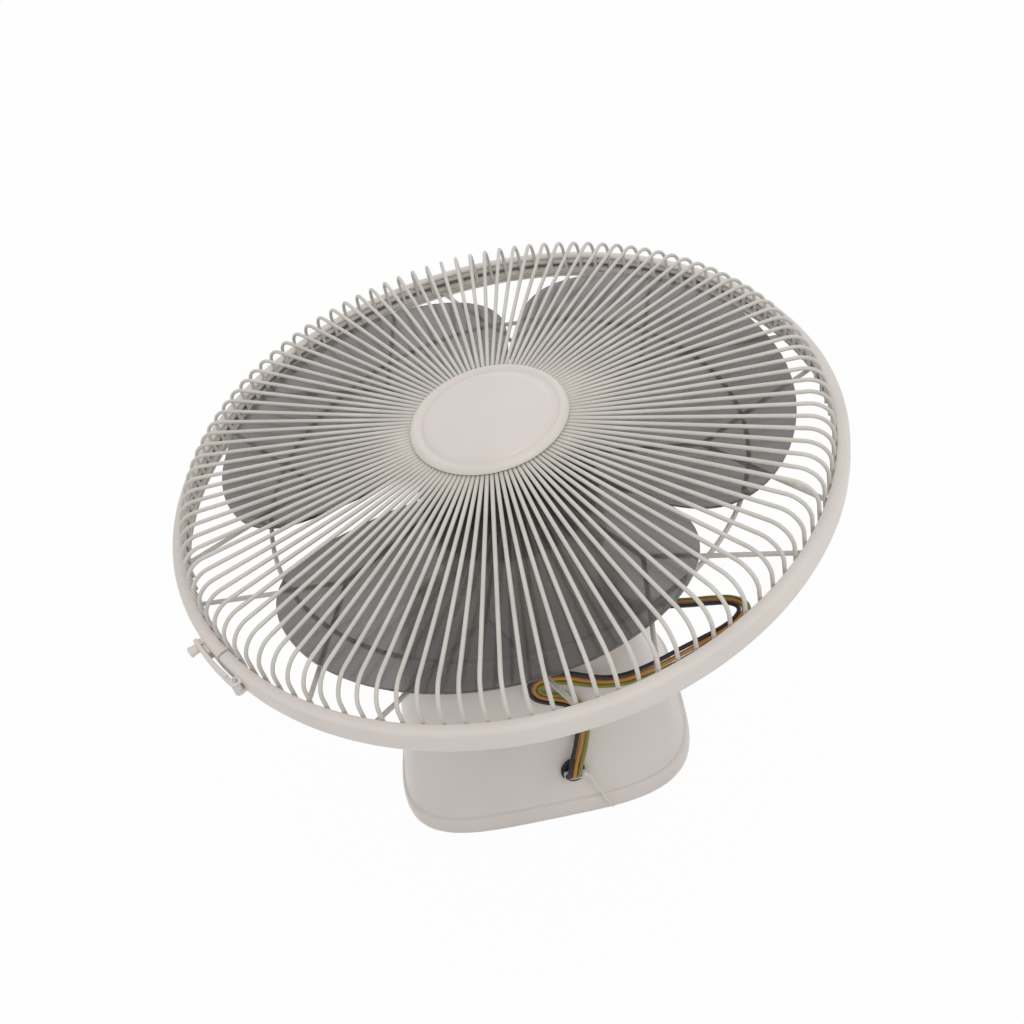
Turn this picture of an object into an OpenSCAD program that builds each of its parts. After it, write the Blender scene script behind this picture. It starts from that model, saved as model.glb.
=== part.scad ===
// Orbital ceiling fan, drawn standing on its ceiling face: +Z points away from the ceiling.
// The head hangs on a tilted crank and circles without turning, so its wires never twist.

/* [Head and orbit] */
// Angle between the fan's axis and the vertical
tilt = 16; // [12:0.5:18]
// Height of the orbit centre over the ceiling face
pivot_z = 164; // [160:1:180]
// Distance of the orbit axis from the middle of the canopy
neck_x = 22; // [0:1:24]
// Distance along the fan axis from the orbit centre to the guard's front rim
rim_w = 96; // [95:1:110]

/* [Guard] */
// Radius of the guard ring outside
ring_r = 230; // [222:1:250]
// Depth of the guard ring along the fan axis
ring_d = 17; // [14:0.5:22]
// Wall of the guard ring
ring_wall = 2.2; // [1.6:0.1:3]
// Width of the ring's front lip
ring_lip = 8; // [7:0.5:11]
// Number of spokes in the front guard
spokes = 112; // [72:4:116]
// Radius of one spoke
spoke_r = 1.3; // [1:0.1:1.6]
// Rise of the front guard from its rim to the shoulder
shoulder_h = 21; // [18:0.5:26]
// Bend radius of the spokes at the shoulder
shoulder_bend = 16; // [10:0.5:17]
// Rise of the front guard from the shoulder to the badge
dome_h = 4; // [2:0.5:8]
// Radius of the rim wires that the ring clasps
rim_wire_r = 2; // [1.6:0.1:2.4]
// Number of forked arms in the rear guard
loops = 8; // [6:1:12]
// Radius of the rear guard's wire
loop_wire_r = 1.6; // [1.2:0.1:2]
// Radius of the hoop that ties the rear guard's arms
hoop_r = 166; // [150:1:176]
// Radius at which an arm forks in two
fork_r = 137; // [120:1:145]
// Radius of the badge in the middle of the guard
badge_r = 54; // [46:1:60]
// Thickness of the badge
badge_t = 5; // [4:0.5:7]

/* [Blade] */
// Radius of the blades at their tips
blade_r = 204; // [184:1:206]
// Number of blades
blades = 3; // [3:1:4]
// Thickness of a blade
blade_t = 2; // [1.6:0.1:3]
// Rise of a blade from its trailing to its leading edge
blade_pitch = 20; // [12:1:24]
// Radius of the blade's hub
hub_r = 34; // [30:1:40]
// Depth of the blade's hub
hub_d = 21; // [18:1:22]

/* [Motor] */
// Radius of the motor housing
motor_r = 62; // [56:1:68]
// Depth of the rear cover over the neck
rear_d = 18; // [16:1:20]
// Depth of the skirt that the rear cover hangs round the neck
skirt_d = 22; // [14:1:24]
// Depth of the front cover
front_d = 34; // [32:1:35]
// Wall of the motor covers
cover_wall = 2.4; // [2:0.1:3]
// Number of vent slots round the motor
vents = 48; // [32:4:52]
// Radius of the motor shaft
shaft_r = 4; // [3.5:0.25:5]
// Running clearance between a shaft and its bore
run_gap = 0.05; // [0.03:0.01:0.08]
// Clearance between parts that only lie side by side
seat_gap = 0.3; // [0.25:0.05:0.4]

/* [Neck and orbit drive] */
// Radius of the neck ball
ball_r = 40; // [39:0.5:42]
// Gap between the ball and its cup
cup_gap = 2; // [1.5:0.25:3]
// Wall of the cup
cup_wall = 5; // [4:0.5:6]
// Radius of the crank's shaft
crank_r = 11; // [10:0.5:12]
// Radius of the crank's tilted stub
stub_r = 12; // [11:0.5:13]
// Outer radius of the stub bearings
bearing_r = 18; // [17.5:0.5:19]
// Radius of the guide pin that keeps the head from turning
guide_r = 2.5; // [2:0.25:3]
// Module of the orbit gears
gear_m = 1.25; // [1.1:0.05:1.35]
// Teeth of the orbit gear
gear_n = 64; // [56:4:64]
// Teeth of the drive pinion
pinion_n = 16; // [14:1:18]
// Thickness of the gears
gear_t = 8; // [6:1:10]

/* [Canopy] */
// Half width of the canopy at the ceiling
canopy_a = 112; // [108:1:120]
// Half width of the canopy at its far end
canopy_top_a = 90; // [88:1:96]
// Height of the canopy
canopy_h = 110; // [106:1:114]
// Wall of the canopy
canopy_wall = 2.6; // [2.2:0.1:3.2]
// Sheet thickness of the ceiling bracket and the chassis
sheet = 2.5; // [2:0.25:3]
// Radius of the bolt circle in the ceiling bracket
bolt_circle = 60; // [54:1:64]
// Radius of the bolt holes in the ceiling bracket
bolt_hole_r = 3.5; // [3:0.25:4.5]
// Radius of the lead bush where it passes through the wall
bush_r = 7; // [6:0.5:8]
// Radius of one lead
lead_r = 1.6; // [1.4:0.1:1.8]

/* [Hidden] */
$fn = 64;

// distances along the fan axis, from the orbit centre
cover_w = 30;                               // where the neck meets the rear cover
joint_w = cover_w + rear_d;                 // where the two covers meet
face_w = joint_w + front_d;                 // front end of the motor
hub_w = face_w + 4;                         // back of the blade's hub
top_w = rim_w + shoulder_h + dome_h;        // spokes' height under the badge
cover_in = motor_r - cover_wall;            // inside of the motor covers
core_w = joint_w - 8;                       // back of the iron cores
core_h = 18;
bolt_r = 50;                                // the four long screws through the motor
boss_r = 17;                                // threaded boss that carries the rear guard
knob_w = 20;
knob_angle = -146.25;

// guard: hoops, spokes and clip
spoke_r_at = ring_r - ring_lip - spoke_r - seat_gap;
bend_r = spoke_r_at - shoulder_bend;
spoke_first = -0.7;
hoop_in = spoke_r_at + spoke_r + rim_wire_r - 0.5;
front_hoop_w = rim_w - ring_wall - seat_gap - rim_wire_r;
rear_hoop_r = ring_r - ring_wall - seat_gap - rim_wire_r;
rear_hoop_w = rim_w - ring_d + 1.5;
seat_hoop_w = rear_hoop_w + 3.9;
arm_w = face_w - 3;
branch_end_r = rear_hoop_r - rim_wire_r - 0.8;
fork_first = -145;
fork_spread = 17;
clip_angle = -151;
clip_span = 11.5;
clip_r = ring_r + 3.4;
clip_w = rim_w - ring_d / 2 + 0.5;

// canopy levels and the drive inside it
chassis_z = canopy_h - 26;
floor_z = chassis_z + sheet;
disc_z = floor_z + 7;
chassis_half = 69;
post_at = 59;
post_r = 5;
gear_z = 50;
gear_pitch_r = gear_m * gear_n / 2;
pinion_pitch_r = gear_m * pinion_n / 2;
gear_gap = gear_pitch_r + pinion_pitch_r;
pinion_angle = 120;
motor_body_r = 24;
motor_body_h = 21;
cup_in = ball_r + cup_gap;
cup_out = cup_in + cup_wall;
cup_top = pivot_z - 10;
cup_screw_r = cup_out - 9;
pin_reach = cup_out - 1;
slot_half = guide_r + pin_reach * (1 - cos(tilt)) / 2 + 0.6;
lead_hole_x = 22.5;
lead_hole_z = 36.5;
lead_pitch = 2 * lead_r + seat_gap;

// ------------------------------------------------------------------ shared shapes

// places things on the fan's tilted axis
module on_head() translate([neck_x, 0, pivot_z]) rotate([tilt, 0, 0]) children();

module round_copies(n, first = 0) for (i = [0:n - 1]) rotate(first + i * 360 / n) children();

// rounded square with swelling sides, half width a
function squircle(a, n = 3.8, m = 56) =
    [for (i = [0:m - 1]) let (t = 360 * i / m, c = cos(t), s = sin(t))
        [a * sign(c) * pow(abs(c), 2 / n), a * sign(s) * pow(abs(s), 2 / n)]];

module squircle_slab(a, z) translate([0, 0, z]) linear_extrude(0.01) polygon(squircle(a));

// half width of the canopy's outside at height z, on its straight wall
function wall_a(z) = canopy_a - 3 + (canopy_top_a - canopy_a + 3) * (z - 14) / (canopy_h - 26);

module tube(outer, inner, h) difference() {
    cylinder(r = outer, h = h);
    translate([0, 0, -1]) cylinder(r = inner, h = h + 2);
}

module screw(head_r, head_h, body_r, length) {
    difference() {
        cylinder(r = head_r, h = head_h);
        translate([-head_r * 0.65, -0.4, head_h - 0.8]) cube([head_r * 1.3, 0.8, 2]);
        translate([-0.4, -head_r * 0.65, head_h - 0.8]) cube([0.8, head_r * 1.3, 2]);
    }
    translate([0, 0, -length]) cylinder(r = body_r, h = length);
}

// ------------------------------------------------------------------ canopy and what it holds

module canopy() color([0.86, 0.83, 0.79]) difference() {
    union() {
        hull() {
            squircle_slab(canopy_a - 1, 0);
            squircle_slab(canopy_a, 4);
            squircle_slab(canopy_a - 0.6, 9);
            squircle_slab(canopy_a - 3, 14);
        }
        hull() {
            squircle_slab(canopy_a - 3, 14);
            squircle_slab(canopy_top_a, canopy_h - 12);
            squircle_slab(canopy_top_a - 3, canopy_h - 4);
            squircle_slab(canopy_top_a - 9, canopy_h);
        }
    }
    hull() {
        squircle_slab(canopy_a - 3 - canopy_wall + 2, -0.01);
        squircle_slab(canopy_a - 3 - canopy_wall, 14);
        squircle_slab(canopy_top_a - canopy_wall, canopy_h - 12);
        squircle_slab(canopy_top_a - 10 - canopy_wall, canopy_h - canopy_wall);
    }
    translate([neck_x, 0, canopy_h - 20]) cylinder(r = cup_out + seat_gap, h = 40);
    translate([lead_hole_x, 0, lead_hole_z]) rotate([90, 0, 0]) cylinder(r = bush_r, h = 200);
    for (side = [-1, 1]) translate([0, 0, 12]) rotate([0, side * 90, 0]) {
        cylinder(r = 2.3, h = 200);
        translate([0, 0, wall_a(12) + 1.1]) cylinder(r = 4.2, h = 20);
    }
}

module ceiling_bracket() color([0.72, 0.73, 0.74]) difference() {
    union() {
        translate([-75, -75, 0]) cube([150, 150, sheet]);
        for (side = [-1, 1]) {
            end = wall_a(20) - canopy_wall - seat_gap;
            translate([side < 0 ? -end : 0, -14, 0]) cube([end, 28, sheet]);
            translate([side < 0 ? -end : end - sheet, -14, 0]) cube([sheet, 28, 20]);
        }
    }
    translate([0, 0, -1]) cylinder(r = 18, h = sheet + 2);
    for (a = [0:90:270]) translate([0, 0, -1]) rotate(a) translate([bolt_circle, 0, 0])
        cylinder(r = bolt_hole_r, h = sheet + 2);
    for (sx = [-1, 1], sy = [-1, 1]) translate([sx * post_at, sy * post_at, -1])
        cylinder(r = 2.2, h = sheet + 2);
    for (side = [-1, 1]) translate([0, 0, 12]) rotate([0, side * 90, 0]) cylinder(r = 1.7, h = 200);
}

module bracket_screws() color([0.6, 0.6, 0.62]) for (side = [-1, 1])
    translate([side * (wall_a(12) + 1.2), 0, 12]) rotate([0, side * 90, 0])
        screw(3.8, 2, 1.6, 9);

module chassis_posts() color([0.62, 0.62, 0.63]) for (sx = [-1, 1], sy = [-1, 1])
    translate([sx * post_at, sy * post_at, sheet]) difference() {
        union() {
            cylinder(r = post_r, h = chassis_z - sheet);
            translate([0, 0, 0.2 - sheet]) cylinder(r = 2.1, h = sheet);
        }
        translate([0, 0, chassis_z - sheet - 12]) cylinder(r = 2.1, h = 13);
    }

module chassis_plate() color([0.7, 0.71, 0.72]) difference() {
    translate([-chassis_half, -chassis_half, chassis_z])
        cube([2 * chassis_half, 2 * chassis_half, sheet]);
    translate([neck_x, 0, chassis_z - 1]) cylinder(r = crank_r + 5, h = sheet + 2);
    for (sx = [-1, 1], sy = [-1, 1]) translate([sx * post_at, sy * post_at, chassis_z - 1])
        cylinder(r = 2.2, h = sheet + 2);
    translate([neck_x, 0, chassis_z - 1]) round_copies(3, 60) translate([cup_screw_r, 0, 0])
        cylinder(r = 2.2, h = sheet + 2);
    pinion_place() for (side = [-1, 1]) translate([side * (motor_body_r + 4), 0, chassis_z - 1])
        cylinder(r = 1.7, h = sheet + 2);
}

module post_screws() color([0.6, 0.6, 0.62]) for (sx = [-1, 1], sy = [-1, 1])
    translate([sx * post_at, sy * post_at, chassis_z + sheet]) screw(4, 2.4, 2, 10);

// cup round the ball, with the fork at the back that guides the pin
module neck_cup() color([0.84, 0.81, 0.77]) translate([neck_x, 0, 0]) difference() {
    union() {
        translate([0, 0, floor_z]) cylinder(r = cup_out, h = cup_top - floor_z);
        translate([-slot_half - 6, cup_in, canopy_h + 2])
            cube([2 * slot_half + 12, cup_wall + 1, pivot_z + pin_reach * sin(tilt) + 1 - canopy_h - 2]);
    }
    translate([0, 0, floor_z + 5]) cylinder(r = cup_in, h = 100);
    translate([0, 0, floor_z - 1]) cylinder(r = crank_r + 5, h = 20);
    translate([-slot_half, cup_in - 4, pivot_z - pin_reach * sin(tilt) - guide_r - 1.2])
        cube([2 * slot_half, cup_wall + 20, 100]);
    translate([0, 0, floor_z - 1]) round_copies(3, 60) translate([cup_screw_r, 0, 0])
        cylinder(r = 1.8, h = 5.5);
}

module cup_screws() color([0.6, 0.6, 0.62]) translate([neck_x, 0, chassis_z])
    round_copies(3, 60) translate([cup_screw_r, 0, 0]) rotate([180, 0, 0]) screw(3.8, 2, 1.7, 6);

module shaft_bush() color([0.72, 0.56, 0.3]) translate([neck_x, 0, chassis_z - 4]) difference() {
    union() {
        cylinder(r = crank_r + 4.9, h = 4 + sheet + 5);
        cylinder(r = crank_r + 8, h = 3.9);
    }
    translate([0, 0, -1]) cylinder(r = crank_r + run_gap, h = 30);
}

module thrust_washer() color([0.9, 0.9, 0.86]) translate([neck_x, 0, disc_z - seat_gap - 1.5])
    tube(28, crank_r + 5.5, 1.5);

// moves to the pinion's axis
module pinion_place() translate([neck_x + gear_gap * cos(pinion_angle), gear_gap * sin(pinion_angle), 0])
    children();

module orbit_motor() color([0.75, 0.76, 0.78]) pinion_place() difference() {
    union() {
        translate([0, 0, chassis_z - motor_body_h]) cylinder(r = motor_body_r, h = motor_body_h);
        for (side = [-1, 1]) translate([side * (motor_body_r + 4), 0, chassis_z - 2])
            cylinder(r = 5, h = 2);
        translate([-motor_body_r - 4, -5, chassis_z - 2]) cube([2 * motor_body_r + 8, 10, 2]);
    }
    translate([0, 0, chassis_z - motor_body_h - 1]) cylinder(r = 3 + run_gap, h = 14);
    for (side = [-1, 1]) translate([side * (motor_body_r + 4), 0, chassis_z - 3])
        cylinder(r = 1.7, h = 4);
}

module motor_screws() color([0.6, 0.6, 0.62]) pinion_place() for (side = [-1, 1])
    translate([side * (motor_body_r + 4), 0, chassis_z - 2]) rotate([180, 0, 0]) screw(3, 1.8, 1.6, 4.2);

module capacitor() color([0.16, 0.16, 0.17]) translate([8, -66, sheet]) {
    cube([38, 16, 26]);
    for (x = [12, 26]) translate([x, 8, 26]) cylinder(r = 1.4, h = 6);
}

// terminal block and, over each lead's hole, its screw
block_at = [-72, -50, sheet];
module terminal_block() color([0.9, 0.89, 0.84]) translate(block_at) difference() {
    cube([20, 44, 15]);
    for (y = [8, 22, 36]) {
        translate([10, y, 8]) cylinder(r = 3, h = 10);
        translate([10, y, 5]) cylinder(r = 1.6, h = 10);
        translate([-1, y, 5]) rotate([0, 90, 0]) cylinder(r = 2, h = 30);
    }
}

module terminal_screws() color([0.8, 0.72, 0.45]) translate(block_at)
    for (y = [8, 22, 36]) translate([10, y, 12.5]) screw(2.8, 1.6, 1.5, 4.2);

module lead_bush() color([0.25, 0.25, 0.26]) translate([lead_hole_x, -wall_a(lead_hole_z), lead_hole_z])
    rotate([90, 0, 0]) difference() {
        union() {
            translate([0, 0, -5]) cylinder(r = bush_r - 0.05, h = 10);
            translate([0, 0, 1.9]) cylinder(r = bush_r + 1.6, h = 2);
        }
        translate([0, 0, -6]) cylinder(r = bush_r - 1.3, h = 30);
    }

// ------------------------------------------------------------------ leads

// middle of the three leads: x, y, z, lean of the row (0 flat on the front wall, 90 and -90 level) and pitch
lead_route = [[-58, -28, 7.5, 90, 14], [-50, -28, 7.5, 90, 14], [-44, -30, 8, 90, 11],
    [-34, -38, 9, 90, 7], [-24, -50, 11, 90, lead_pitch], [-14, -64, 15, 90, lead_pitch],
    [-2, -78, 21, 90, lead_pitch], [10, -88, 28, 90, lead_pitch], [18, -92, 33, 90, lead_pitch],
    [21.5, -95.5, 35.8, 90, lead_pitch], [22.5, -99, 36.5, 90, lead_pitch],
    [22.5, -112, 36.6, 88, lead_pitch], [23, -115.2, 38.5, 60, lead_pitch],
    [24.5, -116.2, 43.5, 25, lead_pitch], [27.5, -113, 50, 5, lead_pitch],
    [31.5, -108.5, 57, 0, lead_pitch], [35, -104, 65, 0, lead_pitch], [37.3, -100.5, 73, 0, lead_pitch], [37, -98, 81, 0, lead_pitch],
    [32, -97, 88, 0, lead_pitch], [24.5, -96, 92, 0, lead_pitch], [16.5, -95.5, 94.5, 0, lead_pitch],
    [10.5, -95, 99, -5, lead_pitch], [10, -94.5, 105, -10, lead_pitch],
    [16, -94.5, 109, -15, lead_pitch], [25, -95, 109.5, -15, lead_pitch],
    [36, -96, 107.5, -10, lead_pitch], [48, -97, 103, -5, lead_pitch], [60, -97.5, 99.5, 0, lead_pitch],
    [73, -97.5, 98.5, -5, lead_pitch], [87, -96.5, 100, -15, lead_pitch],
    [102, -93.5, 102, -30, lead_pitch], [118, -89, 104.5, -50, lead_pitch],
    [134, -84, 106.5, -70, lead_pitch], [149, -77.5, 108, -85, lead_pitch],
    [160, -69, 109, -90, lead_pitch], [164, -59, 110, -90, lead_pitch], [158, -50.5, 111, -90, lead_pitch],
    [146, -47, 112, -90, lead_pitch], [130, -45, 113, -90, lead_pitch], [115, -43, 114.5, -90, lead_pitch],
    [100, -40, 115, -90, lead_pitch], [88, -34, 114.5, -90, lead_pitch],
    [80.5, -23, 113.3, -90, lead_pitch], [77.5, -9, 112.4, -90, lead_pitch],
    [76.5, 5, 112.3, -90, lead_pitch], [73.5, 19, 112.3, -90, lead_pitch],
    [66.5, 32, 112.3, -90, lead_pitch], [56, 43, 112.3, -90, lead_pitch],
    [43, 50.5, 112.3, -90, lead_pitch], [28, 54.2, 112.3, -90, lead_pitch]];

function cross_of(a, b) = [a[1] * b[2] - a[2] * b[1], a[2] * b[0] - a[0] * b[2], a[0] * b[1] - a[1] * b[0]];
function unit(v) = v / norm(v);
function spot(q) = [q[0], q[1], q[2]];
function heading(p, i) = unit(spot(p[min(i + 1, len(p) - 1)]) - spot(p[max(i - 1, 0)]));
function facing(q) = [0, cos(q[3]), sin(q[3])];
function lead_points(k) = [for (i = [0:len(lead_route) - 1]) let (q = lead_route[i])
    concat(spot(q) + k * q[4] * unit(cross_of(facing(q), heading(lead_route, i))), [q[3]])];

// a tube of m sides swept along the points p, whose fourth number is the lean
module swept_tube(p, r, m = 8) {
    n = len(p);
    rings = [for (i = [0:n - 1]) let (t = heading(p, i), side = unit(cross_of(t, facing(p[i]))),
            up = cross_of(side, t))
        for (k = [0:m - 1]) spot(p[i]) + r * (cos(360 * k / m) * side + sin(360 * k / m) * up)];
    walls = [for (i = [0:n - 2], k = [0:m - 1]) each [
        [i * m + k, i * m + (k + 1) % m, (i + 1) * m + (k + 1) % m],
        [i * m + k, (i + 1) * m + (k + 1) % m, (i + 1) * m + k]]];
    polyhedron(rings, concat([[for (k = [m - 1:-1:0]) k]], walls, [[for (k = [0:m - 1]) (n - 1) * m + k]]));
}

module lead_black() color([0.1, 0.1, 0.1]) swept_tube(lead_points(-1), lead_r);
module lead_orange() color([0.8, 0.45, 0.15]) swept_tube(lead_points(0), lead_r);
module lead_earth() color([0.7, 0.72, 0.2]) swept_tube(lead_points(1), lead_r);

tie_tail = [[32.6, -110.8, 36, 0], [34, -111.2, 33, 0], [36.5, -112.5, 26, 0], [39.5, -114.3, 18, 0],
    [42.3, -115.6, 11, 0], [44.5, -116, 5.5, 0]];
module cable_tie() color([0.9, 0.9, 0.88]) {
    translate([lead_hole_x, -111.1, lead_hole_z]) {
        difference() {
            cube([13.2, 2.6, 6.2], center = true);
            cube([11.4, 4, 4.4], center = true);
        }
        translate([6.2, -2.2, -2.4]) cube([3.8, 4, 4.6]);
    }
    swept_tube(tie_tail, 1);
}

// ------------------------------------------------------------------ crank, gears

module gear(n, h, bore) difference() {
    pitch = gear_m * n / 2;
    linear_extrude(h) polygon([for (i = [0:n - 1]) let (a = 360 * i / n, q = 360 / n) each [
        (pitch - 1.25 * gear_m) * [cos(a - 0.36 * q), sin(a - 0.36 * q)],
        pitch * [cos(a - 0.225 * q), sin(a - 0.225 * q)],
        (pitch + 0.9 * gear_m) * [cos(a - 0.11 * q), sin(a - 0.11 * q)],
        (pitch + 0.9 * gear_m) * [cos(a + 0.11 * q), sin(a + 0.11 * q)],
        pitch * [cos(a + 0.225 * q), sin(a + 0.225 * q)],
        (pitch - 1.25 * gear_m) * [cos(a + 0.36 * q), sin(a + 0.36 * q)]]]);
    translate([0, 0, -1]) cylinder(r = bore, h = h + 2);
}

// shaft, disc and tilted stub, bored for the motor's wires
module orbit_crank() color([0.68, 0.69, 0.71]) difference() {
    union() {
        translate([neck_x, 0, gear_z - 6]) cylinder(r = crank_r - 2, h = 20);
        translate([neck_x, 0, gear_z + gear_t + seat_gap])
            cylinder(r = crank_r, h = disc_z - gear_z - gear_t + 1);
        translate([neck_x, 0, disc_z]) cylinder(r = 33, h = 9);
        intersection() {
            on_head() translate([0, 0, -80]) cylinder(r = stub_r, h = 80);
            translate([-200, -200, disc_z]) cube(400);
        }
        on_head() translate([0, 0, -1]) cylinder(r = 8, h = 9);
    }
    translate([neck_x, 0, 0]) cylinder(r = 4, h = disc_z + 5);
    translate([neck_x, 0, disc_z + 4.5]) rotate([-90, 0, 0])
        cylinder(r = 3.4, h = (pivot_z - disc_z - 4.5) * tan(tilt));
    on_head() translate([0, 0, -(pivot_z - disc_z - 4.5) / cos(tilt)]) cylinder(r = 4, h = 100);
}

module crank_collar() color([0.66, 0.67, 0.69]) translate([neck_x, 0, chassis_z - 4 - seat_gap - 6])
    tube(crank_r + 7, crank_r + 0.02, 6);

module orbit_gear() color([0.9, 0.88, 0.8]) translate([neck_x, 0, gear_z]) difference() {
    gear(gear_n, gear_t, crank_r - 1.98);
    round_copies(6) translate([gear_pitch_r * 0.58, 0, -1]) cylinder(r = 6, h = gear_t + 2);
}

module gear_clip() color([0.5, 0.5, 0.52]) translate([neck_x, 0, gear_z - 1.6 - seat_gap])
    tube(crank_r + 2, crank_r - 1.98, 1.6);

module stub_nut() color([0.7, 0.7, 0.72]) on_head() translate([0, 0, seat_gap]) difference() {
    cylinder(r = 14, h = 6, $fn = 6);
    translate([0, 0, -1]) cylinder(r = 8.02, h = 9);
}

// turned so that a gap faces a tooth of the gear
pinion_phase = 180 + pinion_angle + ((pinion_angle * gear_n / 360) % 1 + 0.5) * 360 / pinion_n;
module drive_pinion() color([0.72, 0.58, 0.3]) pinion_place() {
    translate([0, 0, gear_z]) rotate(pinion_phase) gear(pinion_n, gear_t, 2.9);
    translate([0, 0, gear_z - 2]) cylinder(r = 3, h = chassis_z - motor_body_h + 10 - gear_z + 2);
}

// ------------------------------------------------------------------ head: neck, motor

module neck_ball() color([0.84, 0.81, 0.77]) on_head() difference() {
    union() {
        intersection() {
            sphere(r = ball_r, $fn = 96);
            translate([0, 0, -ball_r * 0.86]) cylinder(r = ball_r + 1, h = ball_r * 0.86 + cover_w - 3);
        }
        cylinder(r = 27, h = cover_w - 3);
        translate([0, 0, cover_w - 3]) cylinder(r = 34, h = 3);
    }
    translate([0, 0, -60]) cylinder(r = bearing_r, h = 36);
    translate([0, 0, -30]) cylinder(r = bearing_r - 3, h = 30);
    translate([0, 0, -8]) cylinder(r = bearing_r, h = 60);
    rotate([-90, 0, 0]) translate([0, 0, bearing_r + 2]) cylinder(r = guide_r, h = 40);
    rotate(knob_angle) translate([0, 0, knob_w]) rotate([0, 90, 0]) cylinder(r = 2.5 + run_gap, h = 40);
    round_copies(4, 10) translate([22.5, 0, cover_w - 8]) cylinder(r = 1.62, h = 10);
}

module neck_screws() color([0.6, 0.6, 0.62]) on_head() round_copies(4, 10)
    translate([22.5, 0, cover_w + 3.4]) screw(3, 1.8, 1.6, 10);

module stub_bearings() color([0.74, 0.75, 0.77]) on_head() for (w = [-32.3, -8])
    translate([0, 0, w]) tube(bearing_r - 0.03, stub_r + run_gap, 8);

module guide_pin() color([0.6, 0.6, 0.62]) on_head() rotate([-90, 0, 0])
    translate([0, 0, bearing_r + 2]) cylinder(r = guide_r - 0.02, h = pin_reach - bearing_r - 2);

module radial(angle, w) rotate(angle) translate([0, 0, w]) rotate([0, 90, 0]) children();

module orbit_knob() color([0.93, 0.92, 0.89]) on_head() radial(knob_angle, knob_w) difference() {
    rotate_extrude() polygon([[0, 78], [5.5, 78], [6.2, 79], [6.2, 86], [7.4, 87.5], [7.4, 92], [6.6, 93],
        [0, 93.4]]);
    translate([0, 0, 70]) cylinder(r = 2.5, h = 16);
}

module knob_spindle() color([0.7, 0.7, 0.72]) on_head() radial(knob_angle, knob_w)
    translate([0, 0, bearing_r + 1]) cylinder(r = 2.48, h = 85.8 - bearing_r - 1);

// n upright slots through a wall between two radii
module slots(n, first, r0, r1, w0, h, wide) round_copies(n, first)
    translate([r0, -wide / 2, w0]) cube([r1 - r0, wide, h]);

module motor_bolts(r, w, h, first = 45) round_copies(4, first) translate([bolt_r, 0, w]) cylinder(r = r, h = h);

module rear_cover() color([0.8, 0.77, 0.73]) on_head() difference() {
    union() {
        translate([0, 0, cover_w]) rotate_extrude($fn = 96) polygon([[6, 0], [cover_in, 0],
            [cover_in, -skirt_d], [motor_r - 0.8, -skirt_d], [motor_r, 1.2 - skirt_d], [motor_r, rear_d],
            [cover_in, rear_d], [cover_in, 6], [cover_in - 2.6, 3.4], [12, 3.4], [12, 8.5], [8, 8.5],
            [8, 4], [6, 4]]);
        motor_bolts(4.5, cover_w + 2, core_w - seat_gap - cover_w - 2);
    }
    slots(vents, 0, cover_in - 3, motor_r + 3, cover_w - skirt_d + 4, skirt_d - 8, 1.6);
    slots(vents / 4, 7.5, 30, 44, cover_w - 1, 6, 3);
    radial(knob_angle, knob_w) cylinder(r = 2.9, h = 80);
    motor_bolts(1.75, cover_w - 1, 30);
    round_copies(4, 10) translate([22.5, 0, cover_w - 1]) cylinder(r = 1.7, h = 6);
}

module front_cover() color([0.2, 0.2, 0.21]) on_head() difference() {
    union() {
        translate([0, 0, face_w]) rotate_extrude($fn = 96) polygon([[shaft_r + 4, -9], [shaft_r + 4, 2],
            [boss_r, 2], [boss_r, -2], [motor_r - 12, -2], [motor_r - 2.5, -6], [motor_r, -12],
            [motor_r, seat_gap - front_d], [cover_in, seat_gap - front_d], [cover_in, -12.5],
            [cover_in - 2.3, -7.6], [cover_in - 10.4, -4.4], [14, -4.4], [12, -6], [12, -9]]);
        motor_bolts(4.5, core_w + core_h + seat_gap, face_w - 3 - core_w - core_h - seat_gap);
    }
    slots(vents / 2, 3.75, 24, 45, face_w - 6, 6, 2.4);
    slots(vents, 0, cover_in - 3, motor_r + 3, joint_w + 4, front_d - 20, 1.8);
    motor_bolts(1.75, core_w, face_w - 7 - core_w);
}

module cover_screws() color([0.6, 0.6, 0.62]) on_head() round_copies(4, 45)
    translate([bolt_r, 0, cover_w]) rotate([180, 0, 0]) screw(3.2, 2, 1.7, face_w - 9 - cover_w);

module stator_core() color([0.35, 0.35, 0.37]) on_head() difference() {
    translate([0, 0, core_w]) cylinder(r = cover_in - seat_gap, h = core_h);
    translate([0, 0, core_w - 1]) cylinder(r = 29, h = core_h + 2);
    round_copies(16) translate([36, 0, core_w - 1]) cylinder(r = 3.6, h = core_h + 2);
    motor_bolts(1.8, core_w - 1, core_h + 2);
}

module stator_winding() color([0.7, 0.4, 0.2]) on_head()
    for (w = [core_w - 3.7, core_w + core_h + 0.2]) translate([0, 0, w]) tube(45, 31, 3.5);

module shaft_bearings() color([0.72, 0.56, 0.3]) on_head() {
    translate([0, 0, cover_w + 4]) tube(shaft_r + 3.98, shaft_r + run_gap, 4.5);
    translate([0, 0, face_w - 9]) tube(shaft_r + 3.98, shaft_r + run_gap, 9);
}

module guard_nut() color([0.78, 0.76, 0.72]) on_head() translate([0, 0, face_w - 0.1]) difference() {
    tube(27, boss_r + run_gap, 2.8);
    slots(6, 0, 25.5, 30, -1, 6, 5);
}

// ------------------------------------------------------------------ guards

// one wire round the head axis
module hoop(r, w, wire) translate([0, 0, w]) rotate_extrude($fn = 128) translate([r, 0]) circle(wire, $fn = 20);

module straight_wire(from, to, r) {
    d = to - from;
    translate(from) rotate([0, acos(d[2] / norm(d)), atan2(d[1], d[0])]) cylinder(r = r, h = norm(d), $fn = 16);
}

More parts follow.
